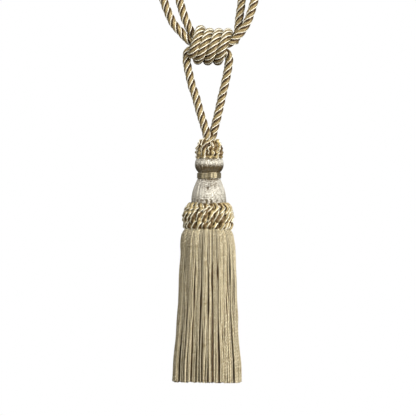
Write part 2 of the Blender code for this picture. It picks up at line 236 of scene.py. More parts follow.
# Each loop strays by chance: azimuth in pitches, depth, and its plies' turn in radians.
COLLAR_STRAY = 0.15
COLLAR_DEPTHS = (-0.5, 0.2)
COLLAR_TURNS = 0.8
COLLAR_TOP = [
    (17.4, -170.0, -0.3), (18.6, -167.2, -0.15), (20.0, -166.3, 0.1),
    (21.7, -167.0, 0.4), (22.6, -168.9, 0.58), (20.8, -170.8, 0.62),
]
COLLAR_UPPER = [
    (20.8, -169.6, 0.72), (23.2, -170.6, 0.66), (24.1, -172.6, 0.44),
    (23.5, -174.6, 0.24), (21.4, -175.6, 0.18),
]
COLLAR_MIDDLE = [
    (21.6, -173.8, 0.6), (23.7, -175.0, 0.58), (24.5, -178.0, 0.46),
    (24.4, -181.4, 0.32), (23.5, -184.2, 0.22), (21.4, -185.6, 0.2),
]
COLLAR_BOTTOM = [
    (21.2, -184.6, 0.56), (23.0, -185.2, 0.52), (24.0, -187.2, 0.4),
    (23.4, -189.4, 0.28), (21.2, -190.6, 0.24),
]
# Piece, loop, thickness, its plies' first turn in radians, and how far it slopes in on the left side.
COLLAR_ROWS = [
    ("collar_top", COLLAR_TOP, 1.05, -0.6, 2.0),
    ("collar_upper", COLLAR_UPPER, 1.08, -0.4, 0.8),
    ("collar_middle", COLLAR_MIDDLE, 1.2, -0.2, 0.0),
    ("collar_bottom", COLLAR_BOTTOM, 1.14, -0.4, 0.0),
]
COLLAR_CORE = [
    (17.0, -166.6), (20.2, -167.8), (22.2, -171.0), (23.0, -176.0),
    (22.8, -181.5), (22.0, -185.6), (21.6, -190.4), (17.0, -191.0),
]

# ---- bullion skirt ----
HEM = -351.0
STRAND_ROOT = -190.2
# The skirt's outline: z, r.
SKIRT_OUTLINE = [
    (STRAND_ROOT, 22.4), (-196.8, 26.3), (-208.0, 28.7), (-228.0, 30.1),
    (-271.0, 32.2), (-304.0, 34.3), (-329.0, 36.8), (HEM, 37.4),
]
YARN_RADIUS = 1.06
OUTER_YARNS = 92
OUTER_PIECES = 4
OUTER_ROWS = 26
OUTER_RING_STEP = 0.65
# One turn of a yarn's plies takes this length, times a share between these two.
YARN_LEAD = 6.2
YARN_LEAD_SHARES = (0.75, 1.25)
# Yarns start at this share of their thickness, and gain the next one over their fall, but stop at 1.
YARN_CROWDED = 0.78
YARN_THICKENS = 0.5
# The yarns' shades lie below this, and every second ply is this much paler.
YARN_SHADES = 0.9
PLY_SHADE = 0.1
# How far a yarn strays round the ring by chance, in pitches.
OUTER_STRAY = 0.12
INNER_STRAY = 0.2
INNER_ROWS = 14
INNER_RING_STEP = 4.0
INNER_LEAD = 24.0
# Hidden rings of yarns: count, share of the outline's radius, how much the partings move them.
INNER_RINGS = [
    (84, 0.935, 0.5), (70, 0.865, 0.0), (58, 0.76, 0.0), (44, 0.62, 0.0),
    (30, 0.45, 0.0), (16, 0.26, 0.0), (5, 0.08, 0.0),
]
# Where the skirt parts: azimuth at the hem, z at which it starts to open, width in degrees.
FRONT_PARTINGS = [
    (-84.0, -250.0, 2.4), (-70.0, -300.0, 2.0), (-56.0, -232.0, 3.0),
    (-47.0, -318.0, 1.8), (-35.5, -300.0, 3.4), (-27.0, -286.0, 2.2),
    (-18.5, -308.0, 3.6), (-8.5, -298.0, 2.8), (-3.6, -320.0, 2.2),
    (8.5, -262.0, 3.2), (15.0, -322.0, 1.8), (22.2, -236.0, 3.0),
    (30.9, -300.0, 3.0), (40.0, -252.0, 2.2), (50.3, -290.0, 3.4),
    (59.4, -312.0, 2.6), (72.0, -270.0, 2.4),
]
# A parting moves the yarns that lie about this many degrees beside it by a share of its width, and
# sinks the nearest ones by up to so many millimetres.
PARTING_REACH = 4.2
PARTING_PUSH = 0.6
PARTING_SINK = 0.9
# One that starts this far above the hem is fully open there, and a lower one opens less. It opens by
# the next share at once, and then fast at first and slower further down.
PARTING_FALL = 110.0
PARTING_CLEFT = 0.15
PARTING_CURVE = 0.7
# Fine partings spread evenly all round, and short slits anywhere: where they start, and widths.
FINE_PARTINGS = 26
FINE_STRAY = 0.3
FINE_STARTS = (-255.0, -200.0)
FINE_WIDTHS = (0.8, 1.6)
SLITS = 110
SLIT_STARTS = (-300.0, -198.0)
SLIT_LENGTHS = (14.0, 40.0)
SLIT_WIDTHS = (1.1, 2.3)
# Round the sides and back: degrees between partings, the fewest before the first, starts, widths.
BACK_SPACING = (8.0, 14.0)
BACK_MARGIN = 6.0
BACK_STARTS = (-325.0, -235.0)
BACK_WIDTHS = (1.8, 3.6)
# Yarns lie up to this far inside the outline, and a little more, and end up to this far above the hem.
YARN_INSET = 1.1
YARN_SLACK = 0.25
UNEVEN_HEM = 1.6
# How yarns sway, in degrees, and ripple in and out, in mm: size, and radians from root to hem.
SWAYS = [(0.8, 5.0), (0.4, 13.0)]
RIPPLES = [(0.35, 7.0), (0.25, 17.0)]
# Below the collar the skirt's left side bulges this far, about this height, for this far up and down.
SHOULDER_BULGE = 2.2
SHOULDER_Z = -198.0
SHOULDER_HEIGHT = 14.0

# ---- camera, floor and light: metres and degrees ----
CAMERA_DISTANCE = 8.0
CAMERA_X = -0.0008
CAMERA_Z = -0.4395
CAMERA_ROLL = 0.67
VIEW_WIDTH = 0.43264
SENSOR = 36.0
FLOOR_Z = -1.15
FLOOR_RADIUS = 0.5
FLOOR_CORNERS = 96
WARM = (1.0, 0.98, 0.92)
WHITE = (1.0, 1.0, 1.0)
# Soft lights: name, place, the point it faces, width, power in watts, colour.
LIGHTS = [
    ("key", (0.85, -1.1, 0.12), (0.0, 0.0, -0.42), 1.0, 33.0, WARM),
    ("fill", (-0.78, -1.22, 0.1), (0.0, 0.0, -0.42), 1.0, 14.0, WARM),
    ("back", (0.2, 1.4, 0.7), (0.0, 0.0, -0.3), 0.9, 4.0, WHITE),
]

# The surround's brightness by height: -1 is straight down, 0 level and 1 straight up.
SURROUND = [
    (-1.0, 0.12), (-0.03, 0.05), (0.05, 0.9), (0.2, 1.0),
    (0.5, 1.1), (0.8, 1.0), (0.88, 0.3), (1.0, 0.1),
]
SURROUND_STRENGTH = 0.38

SEED = 23


def place(x, y, z):
    """A point of the tables (millimetres from the knot) in metres from the hook."""
    return Vector((x * MM, y * MM, (z - KNOT_DROP) * MM))


def around(radius, azimuth, z):
    """A point at a radius and an azimuth round the tassel's axis, in metres from the hook."""
    turn = radians(azimuth)
    return place(radius * sin(turn), -radius * cos(turn), z)


def linear(red, green, blue):
    """A screen colour, 0 to 255, as the linear colour that a shader takes."""
    parts = []
    for part in (red, green, blue):
        value = part / 255.0
        parts.append(value / 12.92 if value <= 0.04045 else ((value + 0.055) / 1.055) ** 2.4)
    return (*parts, 1.0)


def add_object(name, data):
    """A new object in the scene, at the origin."""
    added = bpy.data.objects.new(name, data)
    scene.collection.objects.link(added)
    return added


# ---- camera ----


def add_camera():
    """A camera at the level and roll at which the tieback is seen."""
    data = bpy.data.cameras.new("camera")
    data.sensor_width = SENSOR
    data.lens = SENSOR * CAMERA_DISTANCE / VIEW_WIDTH
    camera = add_object("camera", data)
    camera.location = (CAMERA_X, -CAMERA_DISTANCE, CAMERA_Z)
    camera.rotation_euler = Euler((radians(90.0), 0.0, 0.0))
    camera.rotation_euler.rotate_axis("Z", radians(CAMERA_ROLL))
    scene.camera = camera


add_camera()


# ---- routes ----


def curve_through(points, per_span):
    """A Catmull-Rom curve through every point of the list."""
    padded = [2 * points[0] - points[1], *points, 2 * points[-1] - points[-2]]
    curve = []
    for index in range(1, len(padded) - 2):
        before, start, end, after = padded[index - 1:index + 3]
        for step in range(per_span):
            t = step / per_span
            doubled = 2 * start + (end - before) * t
            doubled += (2 * before - 5 * start + 4 * end - after) * t ** 2
            doubled += (3 * start - before - 3 * end + after) * t ** 3
            curve.append(0.5 * doubled)
    curve.append(points[-1].copy())
    return curve


def even_steps(points, step, per_span=12):
    """A smooth curve through the points, as new points about one step apart."""
    curve = curve_through(points, per_span)
    reach = [0.0]
    for previous, point in zip(curve, curve[1:]):
        reach.append(reach[-1] + (point - previous).length)
    count = max(2, round(reach[-1] / step))
    spaced = []
    span = 0
    for index in range(count + 1):
        target = reach[-1] * index / count
        while span < len(curve) - 2 and reach[span + 1] < target:
            span += 1
        share = (target - reach[span]) / (reach[span + 1] - reach[span])
        spaced.append(curve[span].lerp(curve[span + 1], share))
    return spaced


def directions(points):
    """The curve's direction at each point, from the points beside it."""
    ends = [points[0], *points, points[-1]]
    return [(ahead - behind).normalized() for behind, ahead in zip(ends, ends[2:])]


def moving_frames(points, side=None):
    """The two normals at each point, turned no more than the curve itself turns."""
    tangents = directions(points)
    side = tangents[0].orthogonal() if side is None else side.copy()
    side = (side - tangents[0] * side.dot(tangents[0])).normalized()
    frames = []
    previous = tangents[0]
    for tangent in tangents:
        side = previous.rotation_difference(tangent) @ side
        side = (side - tangent * side.dot(tangent)).normalized()
        frames.append((side, tangent.cross(side)))
        previous = tangent
    return frames


def hook_arc(pull, layer, side):
    """Points of a loop's bend over the hook, from its outer rope to its inner rope."""
    away = Vector((-side * sin(pull), 0.0, cos(pull)))
    across = Vector((side * cos(pull), 0.0, sin(pull)))
    centre = (ROPE_RADIUS - HOOK_BEND) * away + Vector((0.0, layer, KNOT_DROP))
    arc = []
    for index in range(ARC_POINTS):
        angle = pi * index / (ARC_POINTS - 1)
        arc.append(tuple(centre + HOOK_BEND * (cos(angle) * across + sin(angle) * away)))
    return arc


def embrace_route():
    """One rope: left outer, hook, left inner, through the knot, right inner, hook, right outer."""
    left = LEFT_OUTER + hook_arc(LEFT_PULL, -HOOK_LAYER, -1) + LEFT_INNER[::-1]
    right = RIGHT_INNER + hook_arc(RIGHT_PULL, HOOK_LAYER, 1)[::-1] + RIGHT_OUTER[::-1]
    first = [(-GAP / 2, -CORE_OFFSET, CORE_HEIGHT)]
    middle = [(0.0, CORE_OFFSET, CORE_HEIGHT)]
    last = [(GAP / 2, -CORE_OFFSET, CORE_HEIGHT)]
    return [place(*point) for point in first + left + middle + right + last]


def knot_route():
    """The tail, the turns round the other ropes, and the tuck at the left end."""
    route = [place(*point) for point in KNOT_TAIL]
    last = (len(KNOT_HALF_TURNS) - 2) * 180.0 + KNOT_LAST_ANGLE
    angle = KNOT_START_ANGLE
    while angle <= last:
        index = int(max(0.0, angle) // 180.0)
        share = angle / 180.0 - index
        here, there = KNOT_HALF_TURNS[index : index + 2]
        height = cos(radians(angle)) * (here[1] if share < 0.5 else there[1])
        along = here[0] + (there[0] - here[0]) * share + KNOT_LEAN * height
        depth = -KNOT_DEPTH * sin(radians(angle))
        route.append(place(along, depth, KNOT_MIDDLE + height))
        angle += 360.0 / KNOT_TURN_POINTS
    return route + [place(*point) for point in KNOT_TUCK]


# ---- skins ----


def turned(x, y, angle):
    """A point of the plane, turned about its origin."""
    return x * cos(angle) - y * sin(angle), x * sin(angle) + y * cos(angle)


class Skin:
    """Points and faces of one piece while it is being made.

    The painted groove shade, one number a point, is 0 on the crest of a ply and 1 in the groove
    beside it. pale is 1 on the thin highlight yarns laid between plies, whose near-white is a
    painted highlight, and 0 elsewhere. shade tells one cord or yarn from the next, and is set low
    to paint shade on the inset crown loops and the wound knot. fibre, one pair a face corner, is the
    length along the cord in metres and the place round its ply, in turns.
    """

    def __init__(self):
        self.points = []
        self.painted_groove_shade = []
        self.pale = []
        self.shade = []
        self.faces = []
        self.fibre = []


class Section:
    """Twisted plies, and any thin highlight yarns laid on them, cut square across the cord.

    Sizes are in millimetres. offset is from the cord's axis to a ply's centre, and corners are counted
    on one ply. The thin highlight yarn, whose near-white colour is a painted highlight, is None or its
    radius, its distance from the centre of its ply, and its angle about that centre in degrees from
    the ply's crest.
    """

    def __init__(self, plies, offset, ply_radius, corners, highlight_yarn=None):
        half = pi / plies
        self.offset = offset
        self.ply_radius = ply_radius
        self.highlight_yarn = highlight_yarn
        self.outlines = {}
        self.middles = [tau * ply / plies for ply in range(plies)]
        # The angle about a ply's centre at which it meets the next ply.
        self.meets = half + asin(offset * sin(half) / ply_radius)
        self.shares = [2 * corner / corners - 1 for corner in range(corners + 1)]
        turns = self.meets / tau
        count = plies * corners
        # Each corner's place round its ply in turns, and the same for the corner that follows it.
        self.sides = [(a * turns, b * turns) for a, b in zip(self.shares, self.shares[1:])] * plies
        self.pale = [0.0] * count
        # 1 on every second ply, which may be of another shade.
        self.second = [corner // corners % 2 for corner in range(count)]
        self.loops = [(0, count)]
        for edge in range(plies if highlight_yarn else 0):
            first = count + edge * HIGHLIGHT_YARN_CORNERS
            self.loops.append((first, first + HIGHLIGHT_YARN_CORNERS))
            for corner in range(HIGHLIGHT_YARN_CORNERS):
                self.sides.append((corner / HIGHLIGHT_YARN_CORNERS, (corner + 1) / HIGHLIGHT_YARN_CORNERS))
            self.pale += [1.0] * HIGHLIGHT_YARN_CORNERS
            self.second += [0] * HIGHLIGHT_YARN_CORNERS
        self.following = []
        for first, last in self.loops:
            self.following += [*range(first + 1, last), first]

    def outline(self, flank):
        """The corners and their painted groove shade. flank, -1 to 1, is where the highlight yarns
        lie.
        """
        key = round(flank, 2)
        if key not in self.outlines:
            self.outlines[key] = self.draw(key)
        return self.outlines[key]

    def draw(self, flank):
        corners = []
        painted_groove_shade = []
        for middle in self.middles:
            for share in self.shares[:-1]:
                angle = self.meets * share
                x = self.offset + self.ply_radius * cos(angle)
                corners.append(turned(x, self.ply_radius * sin(angle), middle))

                # Painted shade: the groove shade starts sooner on the flank without the highlight
                # yarn.
                sheltered = 1.0 + max(0.0, -SHELTERED_FLANK * copysign(flank, share * flank))
                painted_groove_shade.append(min(1.0, abs(share) * sheltered))
        if self.highlight_yarn is None:
            return corners, painted_groove_shade
        radius, distance, lean = self.highlight_yarn
        lean = radians(lean) * flank
        distance *= 1.0 - HIGHLIGHT_YARN_DIVE * (1.0 - abs(flank))
        for middle in self.middles:
            for corner in range(HIGHLIGHT_YARN_CORNERS):
                angle = tau * corner / HIGHLIGHT_YARN_CORNERS
                x = self.offset + distance * cos(lean) + radius * cos(angle)
                y = distance * sin(lean) + radius * sin(angle)
                corners.append(turned(x, y, middle))
                painted_groove_shade.append(0.0)
        return corners, painted_groove_shade


ROPE = Section(plies=3, offset=2.1, ply_radius=2.36, corners=10, highlight_yarn=(0.72, 2.5, 76.0))
KNOT_ROPE = Section(plies=4, offset=2.4, ply_radius=2.05, corners=8, highlight_yarn=(0.68, 2.17, 70.0))
CORD = Section(plies=2, offset=1.0, ply_radius=1.4, corners=8, highlight_yarn=(0.42, 1.6, 72.0))
THREAD = Section(plies=2, offset=0.1, ply_radius=0.44, corners=4)
RING_THREAD = Section(plies=2, offset=0.35, ply_radius=0.5, corners=4)
OUTER_YARN = Section(plies=2, offset=0.38, ply_radius=0.66, corners=4)
INNER_YARN = Section(plies=2, offset=0.3, ply_radius=0.76, corners=3)


def add_cord(
    skin, points, section, lead, scale=1.0, start=0.0, shade=0.5, flank=0.0, side=None, mixed=0.0
):
    """Add a twisted cord along the points. scale and flank are one number, or one number a point."""
    frames = moving_frames(points, side)
    first = len(skin.points)
    count = len(section.sides)
    travelled = 0.0
    reach = []
    for index, (point, (side, over)) in enumerate(zip(points, frames)):
        if index:
            travelled += (point - points[index - 1]).length
        reach.append(travelled)
        size = (scale[index] if isinstance(scale, list) else scale) * MM
        twist = start + tau * travelled / (lead * MM)
        across = (cos(twist) * side + sin(twist) * over) * size
        beside = (cos(twist) * over - sin(twist) * side) * size
        corners, painted_groove_shade = section.outline(flank[index] if isinstance(flank, list) else flank)
        for x, y in corners:
            skin.points.append(point + x * across + y * beside)
        skin.painted_groove_shade += painted_groove_shade
    skin.pale += section.pale * len(points)
    skin.shade += [shade + mixed * second for second in section.second] * len(points)
    for ring in range(len(points) - 1):
        near = reach[ring]
        far = reach[ring + 1]
        base = first + ring * count
        for corner, (here, there) in enumerate(section.sides):
            a = base + corner
            b = base + section.following[corner]
            skin.faces += [(a, b, a + count), (b, b + count, a + count)]
            skin.fibre += [(near, here), (near, there), (far, here)]
            skin.fibre += [(near, there), (far, there), (far, here)]
    last = first + (len(points) - 1) * count
    for start_corner, end_corner in section.loops:
        skin.faces.append(tuple(range(first + start_corner, first + end_corner))[::-1])
        skin.faces.append(tuple(range(last + start_corner, last + end_corner)))
    skin.fibre += [(0.0, 0.0)] * (2 * count)


def add_lathe(skin, rows, segments, radius_at=None):
    """Add a shape turned about the tassel's axis from rows of (r, z), open at both ends."""
    first = len(skin.points)
    for radius, z in rows:
        for segment in range(segments):
            azimuth = 360.0 * segment / segments
            reach = radius if radius_at is None else radius_at(radius, azimuth, z)
            skin.points.append(around(reach, azimuth, z))
            skin.painted_groove_shade.append(0.0)
            skin.pale.append(0.0)
            skin.shade.append(0.5)
    for row in range(len(rows) - 1):
        upper = first + row * segments
        lower = upper + segments
        top = rows[row][1] * MM
        bottom = rows[row + 1][1] * MM
        for segment in range(segments):
            beside = (segment + 1) % segments
            skin.faces.append((upper + segment, lower + segment, lower + beside, upper + beside))
            left = segment / segments
            right = (segment + 1) / segments
            skin.fibre += [(top, left), (bottom, left), (bottom, right), (top, right)]


def make_piece(name, skin, material, replaced, sharp_angle=65.0):
    """Turn a skin into a piece that rides on the tieback and stands for its CAD node."""
    mesh = bpy.data.meshes.new(name)
    mesh.from_pydata(skin.points, [], skin.faces)
    fibre = mesh.uv_layers.new(name="fibre")
    fibre.data.foreach_set("uv", [value for pair in skin.fibre for value in pair])
    for attribute in ("painted_groove_shade", "pale", "shade"):
        layer = mesh.attributes.new(attribute, "FLOAT", "POINT")
        layer.data.foreach_set("value", getattr(skin, attribute))
    mesh.materials.append(material)
    mesh.shade_smooth()
    mesh.set_sharp_from_angle(angle=radians(sharp_angle))
    piece = add_object(name, mesh)
    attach(piece, "root")
    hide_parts(replaced)
    return piece


# ---- materials ----


class Nodes:
    """Short ways to add nodes to a new material, or to a world, round the shader that it has."""

    def __init__(self, owner, shader="Principled BSDF"):
        self.owner = owner
        owner.use_nodes = True
        self.tree = owner.node_tree
        self.shader = self.tree.nodes[shader]

    def feed(self, socket, value):
        """Set a socket to a plain value, or link it to another node's output."""
        if isinstance(value, (int, float, tuple)):
            socket.default_value = value
        else:
            self.tree.links.new(value, socket)

    def add(self, kind, inputs=(), **settings):
        node = self.tree.nodes.new(kind)
        for key, value in settings.items():
            setattr(node, key, value)
        for key, value in dict(inputs).items():
            self.feed(node.inputs[key], value)
        return node

    def math(self, operation, first, second=0.0):
        return self.add("ShaderNodeMath", {0: first, 1: second}, operation=operation).outputs[0]

    def times(self, value, factor):
        return self.math("MULTIPLY", value, factor)

    def plus(self, first, second):
        return self.math("ADD", first, second)

    def spread(self, value, low, high, new_low=0.0, new_high=1.0):
        """The value moved from one range to another, and held inside it."""
        inputs = {0: value, 1: low, 2: high, 3: new_low, 4: new_high}
        return self.add("ShaderNodeMapRange", inputs).outputs[0]

    def mix(self, factor, first, second, blend="MIX"):
        inputs = {0: factor, 6: first, 7: second}
        return self.add("ShaderNodeMix", inputs, data_type="RGBA", blend_type=blend).outputs[2]

    def toned(self, colour, tone, low, high):
        """The colour made darker or paler by a tone that runs from 0 to 1."""
        level = self.spread(tone, 0.0, 1.0, low, high)
        grey = self.add("ShaderNodeCombineColor", {0: level, 1: level, 2: level}).outputs[0]
        return self.mix(1.0, colour, grey, "MULTIPLY")

    def attribute(self, name):
        return self.add("ShaderNodeAttribute", attribute_name=name).outputs["Fac"]

    def fibre(self):
        """The length along the fibre in metres, and the place round the ply in turns."""
        source = self.add("ShaderNodeUVMap", uv_map="fibre").outputs[0]
        parts = self.add("ShaderNodeSeparateXYZ", {0: source})
        return parts.outputs[0], parts.outputs[1]

    def patches(self, along, turn, per_metre, per_turn, layer, detail=2.0):
        """Soft noise with so many patches a metre and a turn. Each layer has noise of its own."""
        places = {0: self.times(along, per_metre), 1: self.times(turn, per_turn), 2: layer}
        vector = self.add("ShaderNodeCombineXYZ", places).outputs[0]
        inputs = {"Vector": vector, "Scale": 1.0, "Detail": detail}
        return self.add("ShaderNodeTexNoise", inputs).outputs[0]

    def fibres(self, along, turn, shade, count, streaks_per_metre):
        """Wavering fibres, count of them round a ply, and longer streaks among them."""
        wander = self.patches(along, turn, 90.0, 2.0, shade)
        phase = self.plus(self.times(turn, count), self.times(wander, 0.8))
        wave = self.math("SINE", self.times(phase, tau))
        layer = self.times(shade, 37.0)
        return wave, self.patches(along, turn, streaks_per_metre, count * 1.3, layer, 3.0)

    def link(self, source, socket):
        self.tree.links.new(source, self.shader.inputs[socket])

    def set(self, **values):
        for key, value in values.items():
            self.shader.inputs[key.replace("_", " ")].default_value = value

    def bump(self, height, distance):
        inputs = {"Height": height, "Distance": distance, "Strength": 1.0}
        self.link(self.add("ShaderNodeBump", inputs).outputs[0], "Normal")

    def tangent(self, **settings):
        self.link(self.add("ShaderNodeTangent", **settings).outputs[0], "Tangent")


def satin_material(name, body, pale, groove_shade_colour, highlight_yarn, fibres, ply_radius):
    """Satin plies with painted shade in the grooves and a near-white yarn between, a painted
    highlight.
    fibres is how many lie round a ply.
    """
    m = Nodes(bpy.data.materials.new(name))
    along, turn = m.fibre()
    shade = m.attribute("shade")
    lay = tan(radians(FIBRE_LAY)) / (tau * ply_radius * MM)
    laid = m.math("SUBTRACT", turn, m.times(along, lay))
    wave, streak = m.fibres(along, laid, shade, fibres, 60.0)
    ridge = m.plus(m.times(wave, 0.5), m.times(streak, 1.6))
    # The shade attribute gives each cord its own tone, and is set low to paint shade on the inset
    # crown loops and the knot.
    colour = m.toned(m.mix(m.spread(ridge, 0.3, 1.3), body, pale), shade, 0.72, 1.12)
    # Painted shade: the grooves between plies are coloured dark.
    painted_groove_shade = m.spread(m.attribute("painted_groove_shade"), GROOVE_START, GROOVE_FULL)
    colour = m.mix(painted_groove_shade, colour, groove_shade_colour)
    # Painted highlight: the thin yarns between plies are near-white.
    m.link(m.mix(m.attribute("pale"), colour, highlight_yarn), "Base Color")
    m.link(m.spread(streak, 0.3, 0.7, 0.31, 0.41), "Roughness")
    # The rotation turns the sheen from along the ply to across the fibres that lie over it.
    across_fibres = 0.25 - FIBRE_LAY / 360.0
    m.set(Metallic=0.3, Anisotropic=0.95, Anisotropic_Rotation=across_fibres)
    m.set(Specular_IOR_Level=0.4)
    m.tangent(direction_type="UV_MAP", uv_map="fibre")
    m.bump(ridge, 0.10 * MM)
    return m.owner


def spun_material(name, body, pale, groove_shade_colour, grain, bump, groove):
    """Duller spun yarns.

    grain is how many mottled patches a metre of yarn has, bump the height of its fibres in
    millimetres, and groove how sharply the painted shade between plies begins.
    """
    m = Nodes(bpy.data.materials.new(name))
    along, turn = m.fibre()
    shade = m.attribute("shade")
    wave, streak = m.fibres(along, turn, shade, 4.0, 200.0)
    ridge = m.plus(m.times(wave, 0.3), m.times(streak, 2.0))
    specks = m.patches(along, turn, grain, 0.8, m.times(shade, 91.0))
    colour = m.mix(m.spread(specks, 0.3, 0.7), body, pale)
    # Painted shade: the grooves between plies are coloured dark.
    painted_groove_shade = m.math("POWER", m.attribute("painted_groove_shade"), groove)
    colour = m.mix(m.times(painted_groove_shade, 0.9), colour, groove_shade_colour)
    m.link(m.toned(colour, shade, 0.55, 1.36), "Base Color")
    m.link(m.spread(streak, 0.3, 0.7, 0.44, 0.58), "Roughness")
    m.set(Metallic=0.1, Anisotropic=0.85, Anisotropic_Rotation=0.25, Specular_IOR_Level=0.5)
    m.tangent(direction_type="UV_MAP", uv_map="fibre")
    m.bump(ridge, bump * MM)
    return m.owner


def floss_material():
    """Silky floss laid from top to bottom: soft mottle, fine fibres, and a bright sheen."""
    m = Nodes(bpy.data.materials.new("floss_satin"))
    height, turn = m.fibre()
    streak = m.patches(height, turn, 45.0, 150.0, 0.0, 4.0)
    fine = m.patches(height, turn, 180.0, 520.0, 3.0)
    specks = m.patches(height, turn, 600.0, 75.0, 7.0, 1.0)
    swells = m.patches(height, turn, 70.0, 50.0, 11.0, 1.0)
    ridge = m.plus(streak, m.times(fine, 0.5))
    colour = m.mix(m.spread(ridge, 0.55, 0.95), linear(46, 34, 18), linear(110, 92, 60))
    m.link(colour, "Base Color")
    m.link(m.spread(specks, 0.35, 0.65, 0.26, 0.66), "Roughness")
    m.set(Metallic=0.0, IOR=2.25, Anisotropic=1.0, Specular_IOR_Level=1.0)
    m.set(Specular_Tint=(1.0, 0.99, 0.925, 1.0))
    m.tangent(direction_type="RADIAL", axis="Z")
    m.bump(m.plus(m.times(swells, 4.0), m.times(m.plus(ridge, specks), 1.5)), 0.3 * MM)
    return m.owner


def shaded_backs_material(name, dark, light):
    """The cord backs behind the loops, coloured dark as painted shade."""
    m = Nodes(bpy.data.materials.new(name))
    height, turn = m.fibre()
    streak = m.patches(height, turn, 300.0, 60.0, 0.0, 3.0)
    m.link(m.mix(m.spread(streak, 0.3, 0.7), dark, light), "Base Color")
    m.set(Roughness=0.7)
    m.bump(streak, 0.4 * MM)
    return m.owner


def thread_material():
    """Glossy thread wound flat round the waist."""
    m = Nodes(bpy.data.materials.new("whipping_thread"))
    along, turn = m.fibre()
    streak = m.patches(along, turn, 120.0, 6.0, 1.0, 3.0)
    colour = m.mix(m.spread(streak, 0.3, 0.7), linear(108, 95, 68), linear(196, 185, 156))
    m.link(colour, "Base Color")
    m.set(Metallic=0.7, Roughness=0.45, Anisotropic=1.0, Anisotropic_Rotation=0.25)
    m.tangent(direction_type="RADIAL", axis="Z")
    m.bump(streak, 0.05 * MM)
    return m.owner


# Painted shade colours the grooves, and a painted highlight colours the near-white yarns between
# plies.
ROPE_SATIN = satin_material(
    "rope_satin", body=linear(134, 114, 73), pale=linear(170, 152, 110), groove_shade_colour=linear(68, 48, 25),
    highlight_yarn=linear(255, 249, 230), fibres=13.0, ply_radius=ROPE.ply_radius,
)
CORD_SATIN = satin_material(
    "collar_cord_satin", body=linear(158, 138, 94), pale=linear(190, 173, 129),
    groove_shade_colour=linear(92, 71, 41), highlight_yarn=linear(252, 246, 226), fibres=9.0, ply_radius=CORD.ply_radius,
)
OUTER_SPUN = spun_material(
    "skirt_yarn", body=linear(134, 116, 76), pale=linear(234, 224, 194), groove_shade_colour=linear(58, 38, 18),
    grain=700.0, bump=0.02, groove=3.4,
)
# Painted shade: the hidden inner yarns are a darker, shaded copy of the skirt yarn.
INNER_SHADED_SPUN = spun_material(
    "shaded_inner_skirt_yarn", body=linear(82, 60, 34), pale=linear(110, 86, 52), groove_shade_colour=linear(32, 21, 10),
    grain=200.0, bump=0.08, groove=3.0,
)
FLOSS = floss_material()
GLOSSY_THREAD = thread_material()
# Painted shade: the cord backs behind the loops are coloured darker than the loops.
CROWN_SHADED_BACKS = shaded_backs_material("crown_cord_backs_in_shade", linear(88, 68, 40), linear(136, 114, 75))
COLLAR_SHADED_BACKS = shaded_backs_material("collar_cord_backs_in_shade", linear(44, 32, 17), linear(96, 77, 46))


# ---- ropes ----


def free_rope(name, replaced, route, ring_step):
    """A rope along its route, with its real length in metres."""
    points = even_steps(route, ring_step * MM)
    # The flank of a ply that faces down is 1 where the rope climbs, and -1 where it falls. The
    # near-white highlight yarns lie on that flank as a painted highlight, and the other flank takes
    # painted shade sooner.
    flanks = [max(-1.0, min(1.0, direction.z / STEEP)) for direction in directions(points)]
    skin = Skin()
    add_cord(skin, points, ROPE, ROPE_LEAD, flank=flanks)
    make_piece(name, skin, ROPE_SATIN, replaced)


tassel_route = [place(*point) for point in TASSEL_CORD]
free_rope("embrace_rope", "embrace_cord", embrace_route(), EMBRACE_RING_STEP)
free_rope("tassel_legs", "tassel_cord", tassel_route, ROPE_RING_STEP)


def wound_knot():
    """The rope that is wound round the others, tighter, and thin at the tip of its tail."""
    points = even_steps(knot_route(), ROPE_RING_STEP * MM)
    taper = KNOT_TAIL_TAPER / ROPE_RING_STEP
    full = KNOT_ROPE_RADIUS / ROPE_RADIUS
    grown = 1.0 - KNOT_TIP
    scales = [full * min(1.0, KNOT_TIP + grown * index / taper) for index in range(len(points))]
    skin = Skin()
    add_cord(skin, points, KNOT_ROPE, ROPE_LEAD, scales, shade=KNOT_SHADE, flank=-1.0)
    make_piece("wound_knot", skin, ROPE_SATIN, "slide_knot")


wound_knot()


# ---- crown ----


def looped_cord(skin, loop, azimuth, scale, depth, turn, shade, lead, flank, swell):
    """Add one cord that follows rows of (r, z, degrees of lean) at an azimuth.

    turn, in radians, is how far its first ply is turned from facing out at the cord's start.
    """
    route = [around(radius + depth, azimuth + lean, z) for radius, z, lean in loop]
    points = even_steps(route, CORD_RING_STEP * MM, 6)
    out = around(1.0, azimuth, 0.0) - around(0.0, azimuth, 0.0)
    sizes = []
    for index in range(len(points)):
        phase = tau * index * CORD_RING_STEP / SWELL_PERIOD + 3.0 * turn
        sizes.append(scale * (1.0 + swell * sin(phase)))
    add_cord(skin, points, CORD, lead, sizes, turn, shade, flank, out)


